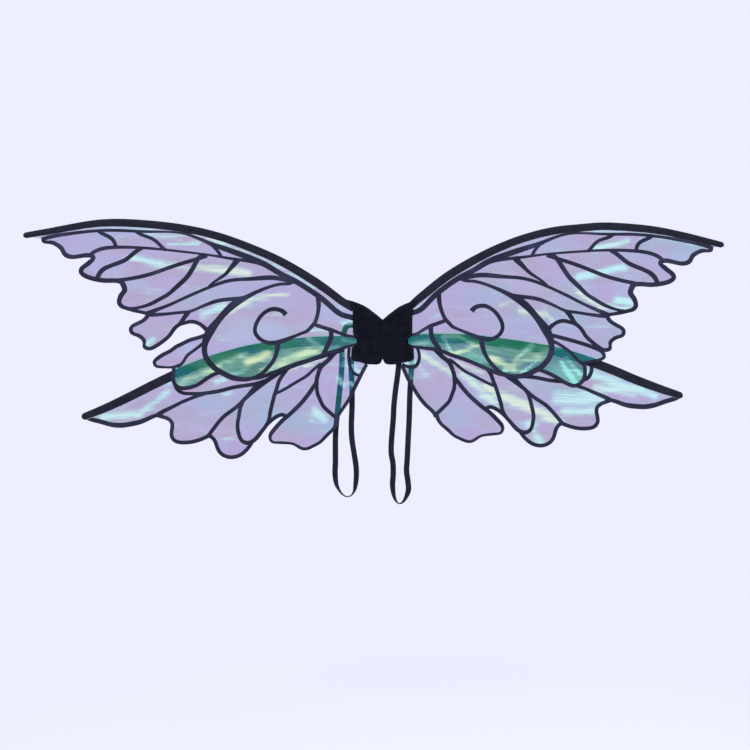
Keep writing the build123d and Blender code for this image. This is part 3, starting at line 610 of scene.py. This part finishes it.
for wing in ("lower_left", "lower_right", "upper_left", "upper_right"):
    upper = wing.startswith("upper")
    side = -1 if wing.endswith("left") else 1
    depth = UPPER_PLANE if upper else LOWER_PLANE
    body = wing + "_wing"
    line = path_of([(side * s, z, w + SLEEVE_EASE) for s, z, w in SLEEVES[wing]], 3.2)
    height = height_of(wing, line)

    film_loops = outlines_of(wing + "_film")
    film, area, size = flat_piece(wing + "_film_sheet", film_loops, FILM_STEP,
                                  lambda p: -depth - FILM_HALF - height(p), lambda p: -depth + FILM_HALF - height(p))
    co = np.array([(v.co.x * 1000, v.co.z * 1000) for v in film.data.vertices])
    near = line_distance(co, line[:, :2]) - np.interp(np.abs(co[:, 0]), np.abs(line[:, 0]), line[:, 2]) / 2
    # Painted highlights: a bright strip beside the sleeve, then the listed crease glints and streaks; warm says how
    # yellow each is.
    glint = (0.85 if upper else 0.45) * (0.65 + 0.5 * ripple(co, 77, 6, 40, 120)).clip(0, 1)
    glint = glint * np.exp(-((near - 2.5) / 3.0) ** 2)
    warm = np.zeros(len(co))
    strokes = GLINTS[wing] + (SLASHES[side] if upper else [])
    for s0, z0, s1, z1, width, strength, yellow in strokes:
        d = line_distance(co, np.array([(side * s0, z0), (side * s1, z1)]))
        glint = np.maximum(glint, strength * np.exp(-(d / (0.62 * width)) ** 2))
        warm = np.maximum(warm, yellow * np.exp(-(d / (1.1 * width)) ** 2))
    paint = {"glint": glint, "warm": warm}
    # On the upper film, masks for the painted reflection over the lower film and sleeve, kept darker where the sleeve
    # is behind.
    if upper:
        loops, tube = lower_cover[side]
        over = np.where(inside(co, loops), 1.0, -1.0) * edge_distance(co, loops)
        backed = 6.6 - line_distance(co, tube)
        over = np.maximum(over, backed)
        paint["crossing"] = rise(over, -1.5, 1.5)
        paint["backed"] = rise(backed + 5.5 * ripple(co, 91, 8, 12, 34), -8, 1)
    else:
        lower_cover[side] = film_loops, line[:, :2]
    for what, values in paint.items():
        layer = film.data.attributes.new(what, "FLOAT", "POINT")
        layer.data.foreach_set("value", values.astype(np.float32))
    tilt = side * (-0.35 if upper else 0.42)
    seed = {"upper_left": 1, "upper_right": 2.3, "lower_left": 3.1, "lower_right": 4.7}[wing]
    dress(film, film_material(wing + "_film_look", tilt, seed))
    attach(film, body)
    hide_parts(wing + "_film")

    veins, _, _ = flat_piece(wing + "_vein_print", outlines_of(wing + "_veins"), FILM_STEP,
                             lambda p: -depth - PRINT_FRONT - height(p),
                             lambda p: -depth - PRINT_BACK - height(p), clear=0.35)
    dress(veins, ink_material(wing + "_ink"))
    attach(veins, body)
    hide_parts(wing + "_veins")

    cover = sleeve_piece(wing + "_sleeve_cover", line, depth)
    dress(cover, sleeve_mat)
    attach(cover, body)
    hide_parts(wing + "_sleeve")

    along = lengths_of(line)
    table = np.hstack([line, *normals_of(line)])
    spots = []
    for at in np.arange(4, along[-1] - 3, SLEEVE_STITCHES):
        x, z, w, nx, nz, dx, dz = [np.interp(at, along, column) for column in table.T]
        off = -GROOVE * (w / 2) * side
        for y in (-depth - SEAM_DEPTH, -depth + SEAM_DEPTH):
            spots.append((x + nx * off, y, z + nz * off, dx, dz))
    sewn = stitches(wing + "_sleeve_stitches", spots)
    dress(sewn, thread_mat)
    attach(sewn, body)
    dress(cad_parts[wing + "_wire"], steel_mat)


# ---- the felt patch ----------------------------------------------------------------------------------------
def patch_half(side, size, inner):
    """The outline of one half of the butterfly, from the fold line at inner out to the side."""
    top = [(0, 20), (12, 30), (25, 39.5), (40, 46), (54, 50)]
    corner = [(54, 50), (48, 43), (45, 32)]
    notch = [(44.5, -2), (40, -7), (34, -13), (40.5, -18), (46.5, -22)]
    foot = [(47.3, -37), (43, -42), (33, -44), (24, -47)]
    middle = [(9, -47.5), (3.5, -45.5), (0, -39)]
    out = []
    for run in (top, corner, notch, foot, middle):
        curve = path_of([(x, z, 0) for x, z in run], 1.5)[:, :2]
        if out and np.hypot(*(np.array(out[-1]) - curve[0])) < 0.1:
            curve = curve[1:]
        out += [tuple(c) for c in curve]
    loop = np.array(out) * size
    # cut along the fold line
    cut = []
    for a, b in zip(loop, np.roll(loop, -1, axis=0)):
        if a[0] >= inner:
            cut.append(a)
        if (a[0] >= inner) != (b[0] >= inner):
            cut.append(a + (b - a) * (inner - a[0]) / (b[0] - a[0]))
    cut = np.array(cut)
    cut[:, 0] *= side
    return cut if side > 0 else cut[::-1]


def rounded(distance, front, back, radius, uneven, lean=None):
    """Front and back surfaces whose edges are rounded over, and which can lean back near the edge."""
    middle = (front + back) / 2
    half = abs(back - front) / 2

    def face(way):
        def height(points):
            t = np.clip(distance(points) / radius, 0, 1)
            thick = half * np.sqrt(np.maximum(0, 1 - (1 - t) ** 2)) + CREASE
            bent = lean(points) if lean else 0.0
            return middle + bent + way * thick + uneven * ripple(points, 3, 8, 9, 34)
        return height
    return face(-1), face(1)


def open_side(loop):
    """The outline without its straight side on the fold line."""
    keep = np.abs(loop[:, 0]) > 0.01
    first = int(np.argmax(~keep & np.roll(keep, -1))) + 1
    turned = np.roll(loop, -first, axis=0)
    return turned[np.abs(turned[:, 0]) > 0.01]


for side, where in ((-1, "left"), (1, "right")):
    edge = patch_half(side, 1.0, 0.0)
    free = open_side(edge)

    def to_free(points, free=free):
        return line_distance(points, free)

    def lean_outer(points, to_free=to_free):
        """The felt closes on the lining at the top and the foot, but stays flat where it folds."""
        d = to_free(points)
        reach = np.abs(points[:, 0])
        top = rise(points[:, 1], 8, 16) * (1 - rise(reach, 27, 35))
        foot = rise(-points[:, 1], 30, 38) * (1 - rise(reach, 40, 46))
        closing = (1 - rise(d, 0, 9)) * (4.2 * top + 3.6 * foot) * rise(reach, 7, 16)
        return closing + 0.35 * (1 - rise(d, 0, 3)) * rise(reach, 6, 9)

    felt_front, felt_back = rounded(to_free, *FELT_FACES, 1.3, 0.10, lean_outer)
    felt, area, size = flat_piece(f"felt_{where}", [edge], 1.8, felt_front, felt_back)
    dress(felt, felt_mat)
    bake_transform(felt)
    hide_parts(f"outer_patch_{where}", "outer_patch_centre")

    loop = patch_half(side, LINING_SIZE, LINING_FOLD)
    front, back = rounded(lambda p: edge_distance(p, [loop]), *LINING_FACES, 1.2, 0.03)
    lining, area, size = flat_piece(f"lining_felt_{where}", [loop], 2.0, front, back)
    dress(lining, felt_mat)
    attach(lining, f"{where}_half")
    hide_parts(f"lining_{where}")

    spots = []
    rim = path_of([(x, z, 0) for x, z in free[::2]], 1.2)
    normal, ahead = normals_of(rim)
    along = lengths_of(rim)
    for at in np.arange(6, along[-1] - 5, PATCH_STITCHES):
        i = int(np.searchsorted(along, at))
        for sign in (1, -1):
            p = rim[i, :2] + sign * PATCH_SEAM * normal[i]
            if inside(np.array([p]), [edge])[0] and abs(p[0]) > 8:
                y = float(felt_front(np.array([p]))[0])
                spots.append((p[0], y - 0.02, p[1], ahead[i, 0], ahead[i, 1]))
    sewn = stitches(f"patch_stitches_{where}", spots, long=2.2, thick=0.20)
    dress(sewn, thread_mat)
    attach(sewn, f"{where}_half")

    dress(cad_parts[f"stiffener_{where}"], card_mat)
    dress(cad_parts[f"upper_rivet_{where}"], rivet_mat)
    dress(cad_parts[f"lower_rivet_{where}"], rivet_mat)

outline = outlines_of("lining_centre")
front, back = rounded(lambda p: edge_distance(p, outline), *LINING_FACES, 1.0, 0.02)
lining, _, _ = flat_piece("lining_felt_centre", outline, 1.8, front, back)
dress(lining, felt_mat)
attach(lining, "centre")
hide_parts("lining_centre")
dress(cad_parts["spine_centre"], foam_mat)

# ---- the elastic straps --------------------------------------------------------------------------------------
# out, up, turn about the band's own line in degrees, bulge towards the wearer
LEFT_OUTER = [(-36, 12, 0, 0), (-41, 12, 0, 0), (-46, 12, 0, 0), (-50.5, 12, 0, 0), (-55, 8.5, 0, 0),
              (-58, 1, 0, 0), (-59.5, -10, 0, 0), (-61, -25, 0, 0.2), (-61, -40, 0, 0.4), (-62, -60, 0, 0.2),
              (-66, -100, 4, 0), (-70, -140, 6, 0.6), (-71, -160, 4, 1.2), (-71, -180, 0, 0.6),
              (-71, -195, 4, 0), (-71.5, -210, 14, -0.6), (-70, -225, 42, 0), (-67, -233, 64, 0.3),
              (-62, -241, 78, 0.3), (-56, -245.5, 86, 0), (-51.5, -246, 88, 0)]
LEFT_INNER = [(-51.5, -246, 88, 0), (-47, -244, 84, 0), (-43, -238, 68, 0), (-41, -230, 44, 0.4),
              (-39.5, -215, 22, 0.6), (-40, -200, 12, 0.2), (-43, -180, 16, -0.6), (-46, -160, 6, -0.8),
              (-47, -140, 0, 0), (-46, -110, 0, 0.6), (-46, -80, 4, 0.4), (-47, -60, 0, 0.1), (-47, -50, 0, 0),
              (-47, -43, 0, 0), (-47, -36, 0, 0)]
RIGHT_LOOP = [(24, -36, 0, 0), (24, -43, 0, 0), (24, -50.4, 0, 0), (23, -60, 0, 0.1), (21, -75, 0, 0.4),
              (19, -90, 4, 0.4), (17, -110, 0, 0), (16, -130, 0, -0.6), (13.5, -160, 4, -0.8), (13, -180, 8, -0.2),
              (15.5, -195, 0, 0.6), (16, -212, 0, 0.6), (15, -228, 16, 0), (16.5, -242, 46, 0), (20, -252, 70, 0),
              (25, -256.5, 86, 0), (31, -253.5, 72, 0), (36, -245, 48, 0), (39, -235, 14, 0), (38, -222, 4, -0.6),
              (36, -207, 0, -0.8), (37, -190, 0, 0), (38.5, -160, 0, 0.7), (40, -130, 4, 0.6), (41, -95, 4, 0),
              (42, -75, 0, 0.2), (43, -60, 0, 0.1), (43.5, -50.4, 0, 0), (43.5, -43, 0, 0), (43.5, -36, 0, 0)]


def band(name, points, wide=8.4, thick=1.05):
    """A flat elastic band with corded edges, through points as in the lists above."""
    rows = path_of(points, 2.2)
    normal, _ = normals_of(rows)
    verts = []
    section = [(u, 1.0 - 0.45 * abs(u) ** 8 + 0.10 * math.cos(u * 6 * math.pi)) for u in np.linspace(-1, 1, 13)]
    for (x, z, turned, out), (nx, nz) in zip(rows, normal):
        a = math.radians(turned)
        wx, wy, wz = nx * math.cos(a), math.sin(a), nz * math.cos(a)
        tx, ty, tz = -nx * math.sin(a), math.cos(a), -nz * math.sin(a)
        y = -STRAP_DEPTH + out
        for sign, order in ((1, section), (-1, section[::-1])):
            for u, t in order:
                half = sign * t * thick / 2
                across = u * wide / 2
                verts.append((x + wx * across + tx * half, y + wy * across + ty * half,
                              z + wz * across + tz * half))
    return mesh_object(name, verts, tube_faces(len(rows), 2 * len(section)), angle=50)


outer = band("strap_left_outer", LEFT_OUTER)
dress(outer, elastic_mat)
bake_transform(outer)
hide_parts("left_strap", "left_strap_end_side")
inner = band("strap_left_inner", LEFT_INNER)
dress(inner, elastic_mat)
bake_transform(inner)
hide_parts("left_strap_end_bottom")
loop = band("strap_right", RIGHT_LOOP)
dress(loop, elastic_mat)
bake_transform(loop)
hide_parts("right_strap", "right_strap_end_inner", "right_strap_end_outer")

# ---- floor, world and lights ---------------------------------------------------------------------------------
# the floor fades into the pale background towards its rim
PALE = (0.847, 0.855, 1.0)
floor_mesh = bpy.data.meshes.new("floor")
turns = [2 * math.pi * k / 96 for k in range(96)]
ring = [(FLOOR_RADIUS * math.cos(a), FLOOR_RADIUS * math.sin(a), FLOOR_HEIGHT) for a in turns]
floor_mesh.from_pydata(ring, [], [tuple(range(96))])
floor = bpy.data.objects.new("floor", floor_mesh)
scene.collection.objects.link(floor)
mat, nt, out = new_material("floor_paint")
p = node(nt, "ShaderNodeBsdfPrincipled", Base_Color=(0.74, 0.75, 0.88, 1), Roughness=0.9)
glow = node(nt, "ShaderNodeEmission", Color=(*PALE, 1))
where = nt.nodes.new("ShaderNodeTexCoord")
reach = nt.nodes.new("ShaderNodeVectorMath")
reach.operation = "LENGTH"
nt.links.new(where.outputs["Object"], reach.inputs[0])
fade = node(nt, "ShaderNodeMapRange", From_Min=0.75, From_Max=1.05)
fade.interpolation_type = "SMOOTHSTEP"
nt.links.new(reach.outputs["Value"], fade.inputs["Value"])
mix = nt.nodes.new("ShaderNodeMixShader")
nt.links.new(fade.outputs["Result"], mix.inputs[0])
nt.links.new(p.outputs[0], mix.inputs[1])
nt.links.new(glow.outputs[0], mix.inputs[2])
nt.links.new(mix.outputs[0], out.inputs[0])
dress(floor, mat)

world = bpy.data.worlds.new("studio")
scene.world = world
world.use_nodes = True
backdrop = world.node_tree.nodes["Background"]
backdrop.inputs["Color"].default_value = (*PALE, 1)
backdrop.inputs["Strength"].default_value = 1.0


def lamp(name, place_at, target, size, power, colour=(1, 1, 1)):
    data = bpy.data.lights.new(name, "AREA")
    data.shape = "DISK"
    data.size = size
    data.energy = power
    data.color = colour
    obj = bpy.data.objects.new(name, data)
    scene.collection.objects.link(obj)
    obj.location = place_at
    obj.rotation_euler = (Vector(target) - Vector(place_at)).to_track_quat("-Z", "Y").to_euler()


lamp("key", (-1.3, -1.9, 1.7), (0, 0, 0), 0.9, 22, (1.0, 0.98, 0.95))
lamp("fill", (1.7, -1.7, 0.5), (0, 0, 0), 0.8, 12, (0.92, 0.96, 1.0))
lamp("back", (0.6, 1.9, 1.2), (0, 0, 0), 1.0, 14)
